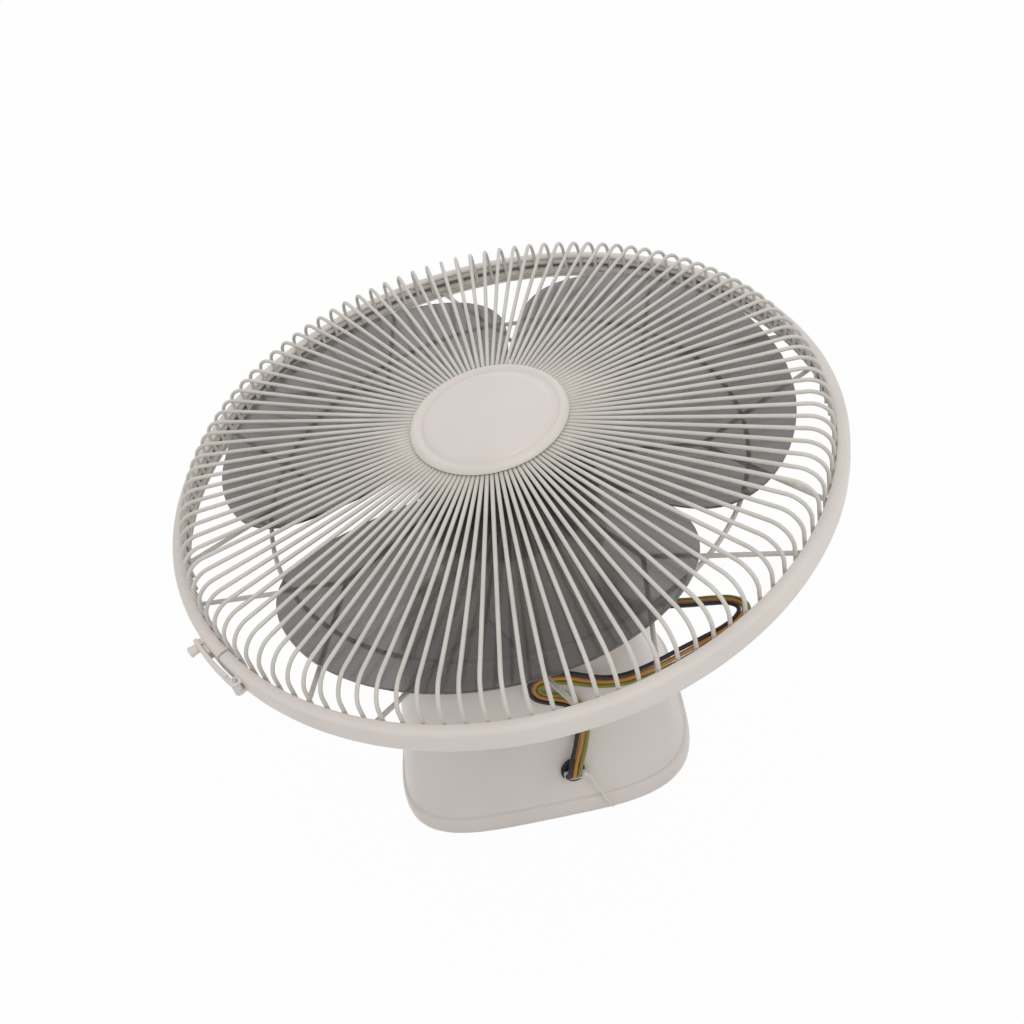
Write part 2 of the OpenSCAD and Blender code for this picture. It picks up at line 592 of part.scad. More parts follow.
module front_guard() color([0.86, 0.84, 0.8]) on_head() {
    hoop(hoop_in, front_hoop_w, rim_wire_r);
    hoop(hoop_in, seat_hoop_w, rim_wire_r);
    translate([0, 0, top_w - 1.3]) tube(badge_r - 6, badge_r - 16, 2.6);
    round_copies(spokes, spoke_first) {
        straight_wire([badge_r - 12, 0, top_w], [bend_r + 0.6, 0, rim_w + shoulder_h], spoke_r + 0.06);
        translate([bend_r, 0, rim_w + shoulder_h - shoulder_bend]) rotate([90, 0, 0])
            rotate_extrude(angle = 90) translate([shoulder_bend, 0]) circle(spoke_r, $fn = 16);
        straight_wire([spoke_r_at, 0, rim_w + shoulder_h - shoulder_bend], [spoke_r_at, 0, seat_hoop_w],
            spoke_r);
    }
}

// ring that clasps both rims, split at the clip: a catch on one side, two ears for the lever on the other
module guard_ring() color([0.88, 0.85, 0.81]) on_head() difference() {
    union() {
        rotate_extrude($fn = 128) polygon([[ring_r - ring_lip, rim_w], [ring_r - 1.5, rim_w],
            [ring_r, rim_w - 1.5], [ring_r, rim_w - ring_d + 3], [ring_r - 1.5, rim_w - ring_d - 1.5],
            [ring_r - ring_lip + 2, rim_w - ring_d - 3.5],
            [ring_r - ring_lip + 2, rim_w - ring_d - 3.5 + ring_wall - 0.6],
            [ring_r - ring_wall, rim_w - ring_d], [ring_r - ring_wall, rim_w - ring_wall],
            [ring_r - ring_lip, rim_w - ring_wall]]);
        rotate(clip_angle + clip_span) for (w = [clip_w - 5.4, clip_w + 3]) translate([0, 0, w]) {
            translate([clip_r, 0, 0]) cylinder(r = 3, h = 2.4);
            translate([ring_r - 1.5, -3, 0]) cube([4.9, 6, 2.4]);
        }
        rotate(clip_angle + 0.9) translate([0, 0, clip_w - 3.4]) rotate_extrude(angle = 2)
            translate([ring_r - 1, 0]) square([2.9, 6.8]);
    }
    rotate(clip_angle + 6) translate([ring_r - 12, -1, rim_w - ring_d - 6]) cube([20, 2, ring_d + 12]);
    rotate(clip_angle + clip_span) translate([clip_r, 0, clip_w - 8]) cylinder(r = 1.27, h = 16);
}

module clip_pin() color([0.6, 0.6, 0.62]) on_head() rotate(clip_angle + clip_span)
    translate([clip_r, 0, clip_w - 5.6]) cylinder(r = 1.25, h = 11.2);

// lever that draws the split ring together, with its thumb knob
module guard_clip() color([0.88, 0.85, 0.81]) on_head() difference() {
    union() {
        rotate(clip_angle + clip_span) translate([clip_r, 0, clip_w - 2.7]) cylinder(r = 2.9, h = 5.4);
        rotate(clip_angle + clip_span - 2.2) translate([0, 0, clip_w - 2.7]) rotate_extrude(angle = 2)
            translate([ring_r + 2.3, 0]) square([2.6, 5.4]);
        rotate(clip_angle - 0.9) translate([0, 0, clip_w - 4.6]) rotate_extrude(angle = clip_span - 1.2)
            translate([ring_r + 2.3, 0]) square([2.6, 9.2]);
        rotate(clip_angle - 0.9) translate([0, 0, clip_w - 3.4]) rotate_extrude(angle = 1.4)
            translate([ring_r + 0.5, 0]) square([2, 6.8]);
        radial(clip_angle, clip_w) translate([0, 0, ring_r + 4]) cylinder(r = 3.6, h = 7);
    }
    rotate(clip_angle + clip_span) translate([clip_r, 0, clip_w - 8])
        cylinder(r = 1.25 + run_gap, h = 16);
}

// plate on the motor's face and the hoop that sits in the guard ring
module rear_guard() color([0.84, 0.82, 0.78]) on_head() {
    hoop(rear_hoop_r, rear_hoop_w, rim_wire_r);
    translate([0, 0, face_w - 1.7]) tube(34, boss_r + seat_gap, 1.3);
}

// hoop behind the arms, which ties them together
module rear_hoop() color([0.84, 0.82, 0.78]) on_head() hoop(hoop_r, arm_w - 3, loop_wire_r);

// arms from the plate outwards, each meeting two branches that run on to the rim
module rear_arms() color([0.84, 0.82, 0.78]) on_head() round_copies(loops, fork_first) {
    straight_wire([30.5, 0, face_w + 1.5], [fork_r, 0, arm_w], loop_wire_r);
    for (side = [-1, 1])
        straight_wire([fork_r + 0.4, side * (loop_wire_r - 0.2), arm_w],
            [branch_end_r * cos(fork_spread), side * branch_end_r * sin(fork_spread), rear_hoop_w - 0.3],
            loop_wire_r);
}

module badge() color([0.88, 0.85, 0.81]) on_head() translate([0, 0, top_w + spoke_r + seat_gap])
    difference() {
        union() {
            rotate_extrude($fn = 96) polygon([[0, 0], [badge_r - 1, 0], [badge_r, 1], [badge_r - 2, 3],
                [badge_r - 6, 3.4], [badge_r - 7, 2.6], [badge_r - 8.5, 2.6], [badge_r - 10, 3.6],
                [badge_r - 24, badge_t - 0.4], [0, badge_t]]);
            round_copies(3, 30) translate([30, 0, -2.9]) cylinder(r = 4, h = 4);
        }
        round_copies(3, 30) translate([30, 0, -3.5]) cylinder(r = 1.45, h = 5.5);
    }

module badge_plate() color([0.8, 0.78, 0.74]) on_head() translate([0, 0, top_w - 1.3 - seat_gap - 2])
    difference() {
        tube(badge_r - 8, 10, 2);
        round_copies(3, 30) translate([30, 0, -1]) cylinder(r = 1.6, h = 4);
    }

module badge_screws() color([0.6, 0.6, 0.62]) on_head() round_copies(3, 30)
    translate([30, 0, top_w - 1.3 - seat_gap - 2]) rotate([180, 0, 0]) screw(2.8, 1.6, 1.4, 6.4);

// ------------------------------------------------------------------ rotor

module motor_shaft() color([0.7, 0.71, 0.73]) on_head() difference() {
    translate([0, 0, cover_w + 4.5]) cylinder(r = shaft_r, h = hub_w + hub_d + 4 - cover_w - 4.5);
    translate([-9, 0, hub_w + 5]) rotate([0, 90, 0]) cylinder(r = 1.52, h = 18);
}

module rotor_core() color([0.5, 0.5, 0.52]) on_head() translate([0, 0, core_w])
    tube(28.5, shaft_r + 0.02, core_h);

module drive_bar() color([0.6, 0.6, 0.62]) on_head() translate([-8, 0, hub_w + 5]) rotate([0, 90, 0])
    cylinder(r = 1.5, h = 16);

// one petal: points over the blade by its share of radius u and of width v
function petal_r(u) = hub_r - 4 + (blade_r - hub_r + 4) * u;
function petal_half(u) = max(3, 58 * pow(max(0, 1 - pow(u, 7)), 0.4545) *
    (0.7 + 0.3 * sin(90 * min(1, u / 0.35))));
function petal_lift(u, v) = let (s = (v - 0.5) * petal_half(u) / 58)
    blade_pitch * s * (1 - 0.35 * u) + 3 * cos(180 * s);
function petal_at(u, v) = let (a = (v - 0.5) * 2 * petal_half(u), r = petal_r(u))
    [r * cos(a), r * sin(a), hub_w + hub_d / 2 + petal_lift(u, v)];

module petal() {
    nu = 15;
    nv = 14;
    row = nv + 1;
    face = [for (s = [-1, 1], i = [0:nu], j = [0:nv])
        petal_at(1 - pow(1 - i / nu, 2), j / nv) + [0, 0, s * blade_t / 2]];
    half = (nu + 1) * row;
    polyhedron(face, concat(
        [for (i = [0:nu - 1], j = [0:nv - 1]) let (a = i * row + j) each
            [[a, a + row, a + row + 1], [a, a + row + 1, a + 1]]],
        [for (i = [0:nu - 1], j = [0:nv - 1]) let (a = half + i * row + j) each
            [[a, a + row + 1, a + row], [a, a + 1, a + row + 1]]],
        [for (i = [0:nu - 1], j = [0, nv]) let (a = i * row + j, b = a + half) each j == 0 ?
            [[a, b + row, a + row], [a, b, b + row]] : [[a, a + row, b + row], [a, b + row, b]]],
        [for (j = [0:nv - 1], i = [0, nu]) let (a = i * row + j, b = a + half) each i == 0 ?
            [[a, a + 1, b + 1], [a, b + 1, b]] : [[a, b + 1, a + 1], [a, b, b + 1]]]));
}

module blade() color([0.45, 0.45, 0.45, 0.6]) on_head() difference() {
    union() {
        difference() {
            union() {
                translate([0, 0, hub_w]) cylinder(r = hub_r, h = hub_d);
                round_copies(blades, 19) petal();
            }
            translate([0, 0, hub_w - 5]) cylinder(r = hub_r - 3, h = hub_d + 2);
        }
        translate([0, 0, hub_w + 2]) cylinder(r = 10, h = hub_d - 4);
    }
    translate([-12, -1.6, hub_w + 1]) cube([24, 3.2, 5.7]);
    cylinder(r = shaft_r + run_gap, h = 200);
}

module spinner() color([0.86, 0.84, 0.8]) on_head() translate([0, 0, hub_w + hub_d + seat_gap]) difference() {
    rotate_extrude() polygon([[0, 0], [16, 0], [15, 3.4], [11, 5.8], [0, 6.6]]);
    translate([0, 0, -1]) cylinder(r = shaft_r + 0.02, h = 5);
}

canopy();
ceiling_bracket();
bracket_screws();
chassis_posts();
chassis_plate();
post_screws();
neck_cup();
cup_screws();
shaft_bush();
thrust_washer();
orbit_motor();
motor_screws();
capacitor();
terminal_block();
terminal_screws();
lead_bush();
cable_tie();
lead_black();
lead_orange();
lead_earth();
orbit_crank();
crank_collar();
orbit_gear();
gear_clip();
stub_nut();
drive_pinion();
neck_ball();
neck_screws();
stub_bearings();
guide_pin();
orbit_knob();
knob_spindle();
rear_cover();
front_cover();
cover_screws();
stator_core();
stator_winding();
shaft_bearings();
guard_nut();
rear_guard();
rear_hoop();
rear_arms();
guard_ring();
front_guard();
badge();
badge_plate();
badge_screws();
clip_pin();
guard_clip();
motor_shaft();
rotor_core();
drive_bar();
blade();
spinner();
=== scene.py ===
import math
import bpy
import bmesh
from mathutils import Matrix, Vector


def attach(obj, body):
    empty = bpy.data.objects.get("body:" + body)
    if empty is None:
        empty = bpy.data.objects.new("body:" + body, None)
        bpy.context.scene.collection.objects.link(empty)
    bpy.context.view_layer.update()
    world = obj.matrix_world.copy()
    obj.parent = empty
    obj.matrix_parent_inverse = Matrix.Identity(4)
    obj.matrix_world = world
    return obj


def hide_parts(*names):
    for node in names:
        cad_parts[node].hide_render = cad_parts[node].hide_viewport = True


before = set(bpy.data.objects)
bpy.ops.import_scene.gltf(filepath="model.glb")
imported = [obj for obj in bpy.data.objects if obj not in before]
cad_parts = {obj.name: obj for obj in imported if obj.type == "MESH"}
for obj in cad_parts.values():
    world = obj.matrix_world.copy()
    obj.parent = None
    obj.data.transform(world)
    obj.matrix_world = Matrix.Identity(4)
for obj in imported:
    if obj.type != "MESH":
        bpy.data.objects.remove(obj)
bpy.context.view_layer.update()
scene = bpy.context.scene

# Camera: it stands before the fan, a little right of its middle, and looks down on it by 28 degrees.
# The picture is turned by nearly 15 degrees, so the canopy stands level in it.
eye = Vector((0.0762, -0.7626, 0.5987))
swing, fall, roll = math.radians(-4.32), math.radians(28.02), math.radians(14.56)
ahead = Vector((math.sin(swing) * math.cos(fall), math.cos(swing) * math.cos(fall), -math.sin(fall)))
level = ahead.cross(Vector((0, 0, 1))).normalized()
below = ahead.cross(level)
across = math.cos(roll) * level + math.sin(roll) * below
upward = math.sin(roll) * level - math.cos(roll) * below
camera = bpy.data.objects.new("camera", bpy.data.cameras.new("camera"))
scene.collection.objects.link(camera)
camera.data.sensor_width = 36
camera.data.lens = 42.19
camera.data.clip_start, camera.data.clip_end = 0.01, 50
camera.matrix_world = Matrix.Translation(eye) @ Matrix((across, upward, -ahead)).transposed().to_4x4()
scene.camera = camera

# Leads: three PVC leads side by side, from the terminal block, out of the bush in the canopy's
# wall, in a loose loop up and round the neck, to their bare ends behind it.
lead_thick = 0.0032
# middle of the row: place in metres, lean of the row in degrees and pitch between the leads
lead_route = [
    (-0.058, -0.028, 0.0075, 90, 0.014), (-0.05, -0.028, 0.0075, 90, 0.014),
    (-0.044, -0.03, 0.008, 90, 0.011), (-0.034, -0.038, 0.009, 90, 0.007),
    (-0.024, -0.05, 0.011, 90, 0.0035), (-0.014, -0.064, 0.015, 90, 0.0035),
    (-0.002, -0.078, 0.021, 90, 0.0035), (0.01, -0.088, 0.028, 90, 0.0035),
    (0.018, -0.092, 0.033, 90, 0.0035), (0.0215, -0.0955, 0.0358, 90, 0.0035),
    (0.0225, -0.099, 0.0365, 90, 0.0035), (0.0225, -0.112, 0.0366, 88, 0.0035),
    (0.023, -0.1152, 0.0385, 60, 0.0035), (0.0245, -0.1162, 0.0435, 25, 0.0035),
    (0.0275, -0.113, 0.05, 5, 0.0035), (0.0315, -0.1085, 0.057, 0, 0.0035),
    (0.035, -0.104, 0.065, 0, 0.0035), (0.0373, -0.1005, 0.073, 0, 0.0035),
    (0.037, -0.098, 0.081, 0, 0.0035), (0.032, -0.097, 0.088, 0, 0.0035),
    (0.0245, -0.096, 0.092, 0, 0.0035), (0.0165, -0.0955, 0.0945, 0, 0.0035),
    (0.0105, -0.095, 0.099, -5, 0.0035), (0.01, -0.0945, 0.105, -10, 0.0035),
    (0.016, -0.0945, 0.109, -15, 0.0035), (0.025, -0.095, 0.1095, -15, 0.0035),
    (0.036, -0.096, 0.1075, -10, 0.0035), (0.048, -0.097, 0.103, -5, 0.0035),
    (0.06, -0.0975, 0.0995, 0, 0.0035), (0.073, -0.0975, 0.0985, -5, 0.0035),
    (0.087, -0.0965, 0.1, -15, 0.0035), (0.102, -0.0935, 0.102, -30, 0.0035),
    (0.118, -0.089, 0.1045, -50, 0.0035), (0.134, -0.084, 0.1065, -70, 0.0035),
    (0.149, -0.0775, 0.108, -85, 0.0035), (0.16, -0.069, 0.109, -90, 0.0035),
    (0.164, -0.059, 0.11, -90, 0.0035), (0.158, -0.0505, 0.111, -90, 0.0035),
    (0.146, -0.047, 0.112, -90, 0.0035), (0.13, -0.045, 0.113, -90, 0.0035),
    (0.115, -0.043, 0.1145, -90, 0.0035), (0.1, -0.04, 0.115, -90, 0.0035),
    (0.088, -0.034, 0.1145, -90, 0.0035), (0.0805, -0.023, 0.1133, -90, 0.0035),
    (0.0775, -0.009, 0.1124, -90, 0.0035), (0.0765, 0.005, 0.1123, -90, 0.0035),
    (0.0735, 0.019, 0.1123, -90, 0.0035), (0.0665, 0.032, 0.1123, -90, 0.0035),
    (0.056, 0.043, 0.1123, -90, 0.0035), (0.043, 0.0505, 0.1123, -90, 0.0035),
    (0.028, 0.0542, 0.1123, -90, 0.0035)]


def lead_points(side):
    line = []
    for i, (x, y, z, lean, pitch) in enumerate(lead_route):
        before, after = lead_route[max(i - 1, 0)], lead_route[min(i + 1, len(lead_route) - 1)]
        heading = (Vector(after[:3]) - Vector(before[:3])).normalized()
        facing = Vector((0, math.cos(math.radians(lean)), math.sin(math.radians(lean))))
        line.append(Vector((x, y, z)) + side * pitch * facing.cross(heading).normalized())
    return line


def shade_of(red, green, blue):
    return [((c / 255 + 0.055) / 1.055) ** 2.4 for c in (red, green, blue)]


def new_finish(name):
    material = bpy.data.materials.new(name)
    material.use_nodes = True
    nodes, links = material.node_tree.nodes, material.node_tree.links
    place = nodes.new("ShaderNodeTexCoord").outputs["Object"]
    return material, nodes, links, nodes["Principled BSDF"], place


# a cloud pattern with lumps of one size in metres, stretched along an axis when told to
def cloud(nodes, links, place, lump, detail=3, stretch=None):
    noise = nodes.new("ShaderNodeTexNoise")
    noise.inputs["Scale"].default_value = 1 / lump
    noise.inputs["Detail"].default_value = detail
    if stretch:
        mapping = nodes.new("ShaderNodeMapping")
        mapping.inputs["Scale"].default_value = stretch
        links.new(place, mapping.inputs["Vector"])
        place = mapping.outputs["Vector"]
    links.new(place, noise.inputs["Vector"])
    return noise.outputs[0]


# noise lies mostly between 0.3 and 0.7, so that stretch is laid over the whole range
def spread(nodes, links, value, low, high):
    noise_low, noise_high = 0.3, 0.7
    ramp = nodes.new("ShaderNodeMapRange")
    for socket, number in zip(ramp.inputs[1:5], (noise_low, noise_high, low, high)):
        socket.default_value = number
    links.new(value, ramp.inputs[0])
    return ramp.outputs[0]


def two_tone(nodes, links, value, first, second):
    noise_low, noise_high = 0.3, 0.7
    ramp = nodes.new("ShaderNodeValToRGB")
    start, end = ramp.color_ramp.elements
    start.position, end.position = noise_low, noise_high
    start.color, end.color = [*first, 1], [*second, 1]
    links.new(value, ramp.inputs[0])
    return ramp.outputs[0]


def grain_on(nodes, links, shader, value, depth, strength=0.5):
    bump = nodes.new("ShaderNodeBump")
    bump.inputs["Distance"].default_value = depth
    bump.inputs["Strength"].default_value = strength
    links.new(value, bump.inputs["Height"])
    links.new(bump.outputs[0], shader.inputs["Normal"])


# plastic out of a mould: clouds of slightly uneven colour, uneven gloss and a fine skin
def moulded(name, colour, gloss, drift=0.04, grain=0.0008, depth=0.00003, patch=0.03):
    material, nodes, links, shader, place = new_finish(name)
    clouds = cloud(nodes, links, place, patch, 4)
    dark, light = [c * (1 - drift) for c in colour], [c * (1 + drift) for c in colour]
    links.new(two_tone(nodes, links, clouds, dark, light), shader.inputs["Base Color"])
    rubbed = cloud(nodes, links, place, patch / 3, 5)
    links.new(spread(nodes, links, rubbed, gloss - 0.06, gloss + 0.07), shader.inputs["Roughness"])
    grain_on(nodes, links, shader, cloud(nodes, links, place, grain, 2), depth)
    shader.inputs["IOR"].default_value = 1.48
    return material


def linked(name, mesh):
    piece = bpy.data.objects.new(name, mesh)
    scene.collection.objects.link(piece)
    return piece


lead_colours = {"black": (-1, shade_of(34, 33, 33)), "orange": (0, shade_of(184, 124, 56)),
                "earth": (1, shade_of(130, 126, 46))}
for colour, (side, tint) in lead_colours.items():
    line = lead_points(side)
    shape = bpy.data.curves.new(colour + "_lead", "CURVE")
    shape.dimensions = "3D"
    shape.resolution_u = 4
    shape.bevel_depth = lead_thick / 2
    shape.bevel_resolution = 3
    shape.use_fill_caps = True
    spline = shape.splines.new("BEZIER")
    spline.bezier_points.add(len(line) - 1)
    for knot, spot in zip(spline.bezier_points, line):
        knot.co = spot
        knot.handle_left_type = knot.handle_right_type = "AUTO"
    lead = linked(colour + "_lead", shape)
    shape.materials.append(moulded(colour + "_pvc", tint, 0.42, 0.12, 0.0015, 0.00004, 0.02))
    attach(lead, "ceiling_unit")
    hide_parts("lead_" + colour)

# Cable tie: a white nylon strap drawn round the three leads outside the bush, through its
# ratchet head, with its cut tail hanging down the wall.
tie_nylon = moulded("tie_nylon", shade_of(224, 221, 214), 0.38, 0.02, 0.0006, 0.00002, 0.006)
tie_shader = tie_nylon.node_tree.nodes["Principled BSDF"]
tie_shader.inputs["Subsurface Weight"].default_value = 0.15
tie_shader.inputs["Subsurface Radius"].default_value = (0.002, 0.002, 0.002)
tie_at = Vector((0.0225, -0.1111, 0.0365))
band_half_wide, band_half_high, band_width, band_thick = 0.0066, 0.0031, 0.0026, 0.0008
band_corner = 5  # power of the rounded oblong that the band follows


# one piece out of a bmesh, with smooth faces and edges that stay sharp past an angle
def piece_from(shape, name, material, sharp=35):
    mesh = bpy.data.meshes.new(name)
    shape.to_mesh(mesh)
    shape.free()
    mesh.shade_smooth()
    mesh.set_sharp_from_angle(angle=math.radians(sharp))
    mesh.materials.append(material)
    return linked(name, mesh)


tie = bmesh.new()
bmesh.ops.create_circle(tie, cap_ends=False, radius=1, segments=64)
for v in tie.verts:
    reach = (abs(v.co.x) ** band_corner + abs(v.co.y) ** band_corner) ** (-1 / band_corner)
    v.co = (v.co.x * reach * band_half_wide, -band_width / 2, v.co.y * reach * band_half_high)
made = bmesh.ops.extrude_edge_only(tie, edges=tie.edges[:])["geom"]
other_rim = [v for v in made if isinstance(v, bmesh.types.BMVert)]
bmesh.ops.translate(tie, vec=(0, band_width, 0), verts=other_rim)
bmesh.ops.recalc_face_normals(tie, faces=tie.faces[:])
bmesh.ops.solidify(tie, geom=tie.faces[:], thickness=band_thick)
bmesh.ops.translate(tie, vec=tie_at, verts=tie.verts[:])
ratchet = (Matrix.Translation(tie_at + Vector((0.0083, -0.0002, -0.0001)))
           @ Matrix.Diagonal((0.0038, 0.004, 0.0046, 1)))
head = bmesh.ops.create_cube(tie, size=1, matrix=ratchet)["verts"]
bmesh.ops.bevel(tie, geom=list({e for v in head for e in v.link_edges}), offset=0.0006, segments=3,
                profile=0.5, affect="EDGES", material=-1)
# the tail: a strap 2 mm wide that starts as one thin face and is drawn out down the wall
tail_run = [(0.0326, -0.1108, 0.036), (0.034, -0.1112, 0.033), (0.0365, -0.1125, 0.026),
            (0.0395, -0.1143, 0.018), (0.0423, -0.1156, 0.011), (0.0445, -0.116, 0.0055)]
strap = [tie.verts.new(Vector(tail_run[0]) + Vector(d)) for d in
         ((-0.0009, -0.0005, 0), (0.0009, -0.0005, 0), (0.0009, 0.0005, 0), (-0.0009, 0.0005, 0))]
strap_end = tie.faces.new(strap)
for here, there in zip(tail_run, tail_run[1:]):
    strap_end = bmesh.ops.extrude_discrete_faces(tie, faces=[strap_end])["faces"][0]
    bmesh.ops.translate(tie, vec=Vector(there) - Vector(here), verts=strap_end.verts[:])
tie_piece = piece_from(tie, "tie_strap", tie_nylon)
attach(tie_piece, "ceiling_unit")
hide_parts("cable_tie")

# Floor and lamps: a plain pale floor that shows white to the eye and keeps the fan's shadow, a
# broad soft lamp from the front and right, weaker ones from the left and behind, and a pale room.
floor_shape = bmesh.new()
bmesh.ops.create_grid(floor_shape, x_segments=1, y_segments=1, size=40)
floor_gap = 0.0004  # under the ceiling face, so that the two don't share a plane
bmesh.ops.translate(floor_shape, vec=(0, 0, -floor_gap), verts=floor_shape.verts[:])
floor_finish, nodes, links, shader, place = new_finish("pale_floor")
shader.inputs["Base Color"].default_value = (0.8, 0.8, 0.8, 1)
shader.inputs["Roughness"].default_value = 0.9
shader.inputs["Specular IOR Level"].default_value = 0.1
glow, mixed = nodes.new("ShaderNodeEmission"), nodes.new("ShaderNodeMixShader")
ray = nodes.new("ShaderNodeLightPath")
either, seen = nodes.new("ShaderNodeMath"), nodes.new("ShaderNodeMath")
either.operation = "MAXIMUM"
links.new(ray.outputs["Is Glossy Ray"], either.inputs[0])
links.new(ray.outputs["Is Transmission Ray"], either.inputs[1])
seen.operation = "MAXIMUM"
links.new(either.outputs[0], seen.inputs[0])
links.new(ray.outputs["Is Camera Ray"], seen.inputs[1])
share = nodes.new("ShaderNodeMath")
share.operation = "MULTIPLY"
floor_white = 0.97
share.inputs[1].default_value = floor_white
links.new(seen.outputs[0], share.inputs[0])
links.new(share.outputs[0], mixed.inputs["Fac"])
links.new(shader.outputs[0], mixed.inputs[1])
links.new(glow.outputs[0], mixed.inputs[2])
links.new(mixed.outputs[0], nodes["Material Output"].inputs["Surface"])
floor_mesh = bpy.data.meshes.new("floor")
floor_shape.to_mesh(floor_mesh)
floor_shape.free()
floor_mesh.materials.append(floor_finish)
linked("floor", floor_mesh)

room = bpy.data.worlds.new("room")
scene.world = room
room.use_nodes = True
nodes, links = room.node_tree.nodes, room.node_tree.links
soft, white = nodes["Background"], nodes.new("ShaderNodeBackground")
soft.inputs["Color"].default_value = (0.92, 0.95, 1, 1)
soft.inputs["Strength"].default_value = 0.41
white.inputs["Color"].default_value = (1, 1, 1, 1)
ray = nodes.new("ShaderNodeLightPath")
either, seen = nodes.new("ShaderNodeMath"), nodes.new("ShaderNodeMath")
either.operation = seen.operation = "MAXIMUM"
links.new(ray.outputs["Is Camera Ray"], either.inputs[0])
links.new(ray.outputs["Is Transmission Ray"], either.inputs[1])
links.new(either.outputs[0], seen.inputs[0])
mixed = nodes.new("ShaderNodeMixShader")
links.new(seen.outputs[0], mixed.inputs["Fac"])
links.new(soft.outputs[0], mixed.inputs[1])
links.new(white.outputs[0], mixed.inputs[2])
links.new(mixed.outputs[0], nodes["World Output"].inputs["Surface"])
scene.view_settings.view_transform = "Standard"

lamp_aim = Vector((0, 0, 0.12))
lamps = (("key_lamp", (0.8, -1.35, 1.5), 1, 7.4, (1, 0.98, 0.96)),
         ("side_lamp", (-1.5, -0.6, 1.1), 1.2, 0.8, (1, 0.98, 0.96)),
         ("back_lamp", (0.3, 1.4, 1.2), 1.2, 2.2, (0.96, 0.98, 1)))
for name, spot, width, power, tint in lamps:
    lamp = bpy.data.lights.new(name, "AREA")
    lamp.shape, lamp.size, lamp.energy, lamp.color = "DISK", width, power, tint
    lamp = linked(name, lamp)
    facing = (lamp_aim - Vector(spot)).to_track_quat("-Z", "Y")
    lamp.matrix_world = Matrix.Translation(spot) @ facing.to_matrix().to_4x4()

# Ceiling bracket, posts and chassis: zinc plated sheet, cut and bent, bolted to the ceiling, with
# four turned posts that carry the chassis plate over it, and plated screws.


# metal with clouded colour and gloss and a very fine skin
def metal(name, colour, gloss, lump, drift=0.08):
    material, nodes, links, shader, place = new_finish(name)
    shader.inputs["Metallic"].default_value = 1
    tarnish = cloud(nodes, links, place, lump, 5)
    skin_depth = 0.00001
    dark, light = [c * (1 - drift) for c in colour], [min(1, c * (1 + drift)) for c in colour]
    links.new(two_tone(nodes, links, tarnish, dark, light), shader.inputs["Base Color"])
    links.new(spread(nodes, links, tarnish, gloss - 0.08, gloss + 0.1), shader.inputs["Roughness"])
    grain_on(nodes, links, shader, tarnish, skin_depth)
    return material


# a CAD node keeps its shape and takes a finish
def dress(material, *names):
    for name in names:
        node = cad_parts[name]
        if not node.material_slots:
            node.data.materials.append(material)
        for place in node.material_slots:
            place.material = material


zinc_sheet = metal("zinc_sheet", (0.62, 0.64, 0.66), 0.42, 0.012, drift=0.16)
plated_steel = metal("plated_steel", (0.58, 0.58, 0.6), 0.32, 0.002)
dress(zinc_sheet, "ceiling_bracket", "chassis_plate")
dress(plated_steel, "bracket_screws", "post_screws", "chassis_posts", "cup_screws", "motor_screws",
      "neck_screws", "cover_screws", "badge_screws", "terminal_screws")

# Canopy: a squarish box of ivory plastic with swelling sides and a rounded lip, moulded in one
# piece 2.6 mm thick, open to the ceiling and held by a screw at each side.
ivory = moulded("ivory_plastic", shade_of(228, 219, 212), 0.36, 0.03, 0.0011, 0.00003, 0.05)
canopy_start, canopy_corner, canopy_high, canopy_wall = 0.1102, 3.8, 0.11, 0.0026
neck_from_middle, neck_hole_radius = 0.022, 0.0473
lead_hole_at, lead_hole_radius, side_screw_high = (0.0225, -0.105, 0.0365), 0.007, 0.012
canopy = bmesh.new()
bmesh.ops.create_circle(canopy, cap_ends=False, radius=1, segments=240)
for v in canopy.verts:
    reach = (abs(v.co.x) ** canopy_corner + abs(v.co.y) ** canopy_corner) ** (-1 / canopy_corner)
    v.co *= canopy_start * reach
rim, size, height = canopy.edges[:], canopy_start, 0
# height over the ceiling and half width of each level, from the lip through the ledge to the top
for z, half in ((0.0004, 0.1109), (0.0014, 0.1115), (0.004, 0.112), (0.0075, 0.1119), (0.0105, 0.1116),
                (0.0121, 0.1112), (0.0128, 0.1107), (0.0132, 0.11), (0.0135, 0.1093), (0.0141, 0.1089),
                (0.0165, 0.1083), (0.035, 0.10425), (0.056, 0.0995),
                (0.077, 0.0948), (0.0965, 0.0903), (0.1, 0.0894), (0.1032, 0.0882), (0.106, 0.0866),
                (0.1082, 0.0845), (0.1095, 0.0824), (0.11, 0.08)):
    made = bmesh.ops.extrude_edge_only(canopy, edges=rim)["geom"]
    loop = [v for v in made if isinstance(v, bmesh.types.BMVert)]
    rim = [e for e in made if isinstance(e, bmesh.types.BMEdge) and e.is_boundary]
    bmesh.ops.scale(canopy, vec=(half / size, half / size, 1), verts=loop)
    bmesh.ops.translate(canopy, vec=(0, 0, z - height), verts=loop)
    size, height = half, z
neck_place = Matrix.Translation((neck_from_middle, 0, canopy_high))
neck_hole = bmesh.ops.create_circle(canopy, cap_ends=False, radius=neck_hole_radius, segments=240,
                                    matrix=neck_place)["verts"]
bmesh.ops.bridge_loops(canopy, edges=rim + list({e for v in neck_hole for e in v.link_edges}))
bmesh.ops.recalc_face_normals(canopy, faces=canopy.faces[:])
top_faces = [f for f in canopy.faces if f.calc_center_median().z > canopy_high - 0.0001]
if sum(f.calc_area() * f.normal.z for f in top_faces) < 0:
    bmesh.ops.reverse_faces(canopy, faces=canopy.faces[:])
canopy = piece_from(canopy, "canopy_shell", ivory, 30)
wall = canopy.modifiers.new("wall", "SOLIDIFY")
wall.thickness, wall.offset, wall.use_even_offset = canopy_wall, -1, True
drills = bmesh.new()
lead_drill = Matrix.Translation(lead_hole_at) @ Matrix.Rotation(math.pi / 2, 4, "X")
